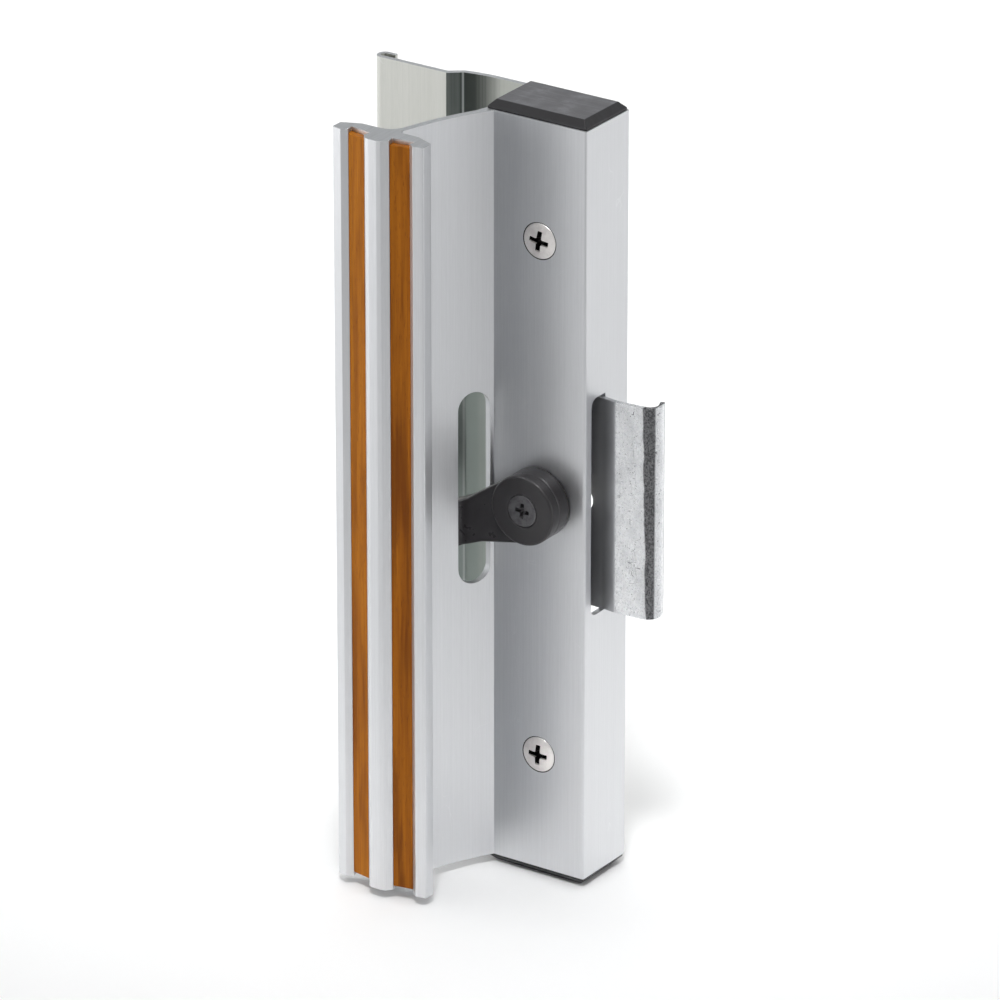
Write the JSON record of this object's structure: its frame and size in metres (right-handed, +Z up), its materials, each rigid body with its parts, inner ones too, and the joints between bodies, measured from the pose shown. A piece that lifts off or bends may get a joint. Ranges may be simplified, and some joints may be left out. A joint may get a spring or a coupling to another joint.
{
  "type": "sliding door handle set",
  "caption": "Surface-mounted patio door pull handles with a thumb lever that draws in a side clamp latch and wood-grain grip inserts.",
  "frame": {"origin": "on the line of the two mounting screws, half-way between them, on the plane that lies on the door", "axes": "+X towards the strike jamb, +Y through the door to the outside, +Z up along the handles"},
  "size_m": [0.1079, 0.072, 0.25],
  "materials": {
    "anodised_aluminium": "satin anodised extrusion with fine vertical lines",
    "anodised_aluminium_outside": "satin anodised extrusion, slightly warmer",
    "wood_grain_left": "satin oiled, straight vertical grain",
    "wood_grain_right": "satin oiled, straight vertical grain, darker",
    "black_plastic": "fine matte moulded texture",
    "nickel_steel": "nickel plated, worn at the recess",
    "plain_aluminium": "mill finish",
    "black_lever": "satin black moulded",
    "dark_steel": "blackened steel",
    "white_nylon": "natural nylon",
    "spring_steel": "spring steel",
    "cast_zinc": "die cast zinc",
    "bright_steel": "ground steel",
    "zinc_plate": "bright zinc plate, mottled and scratched"
  },
  "bodies": {
    "housing": {"inside_pull": "anodised_aluminium", "outside_pull": "anodised_aluminium_outside", "wood_insert_left": "wood_grain_left", "wood_insert_right": "wood_grain_right", "top_cap": "black_plastic", "bottom_cap": "black_plastic", "upper_mount_screw": "nickel_steel", "lower_mount_screw": "nickel_steel", "upper_spacer": "plain_aluminium", "lower_spacer": "plain_aluminium", "spindle_bush": "white_nylon", "friction_washer": "spring_steel", "upper_guide": "white_nylon", "lower_guide": "white_nylon"},
    "lever": {"thumb_lever": "black_lever", "lever_screw": "dark_steel", "drive_cam": "cast_zinc", "cam_pin": "bright_steel", "retaining_ring": "dark_steel"},
    "clamp": {"clamp_latch": "zinc_plate"}
  },
  "joints": [
    {"name": "lever_turn", "type": "hinge", "parent": "housing", "child": "lever", "pos_m": [0, -0.023, 0], "axis": [0, 1, 0], "range_deg": [-10, 59]},
    {"name": "clamp_slide", "type": "slide", "parent": "housing", "child": "clamp", "axis": [-1, 0, 0], "range_m": [-0.00146, 0.00867]}
  ],
  "couplings": [
    {"joint": "lever_turn", "follows": "clamp_slide", "rad_per_m": 118.77}
  ]
}
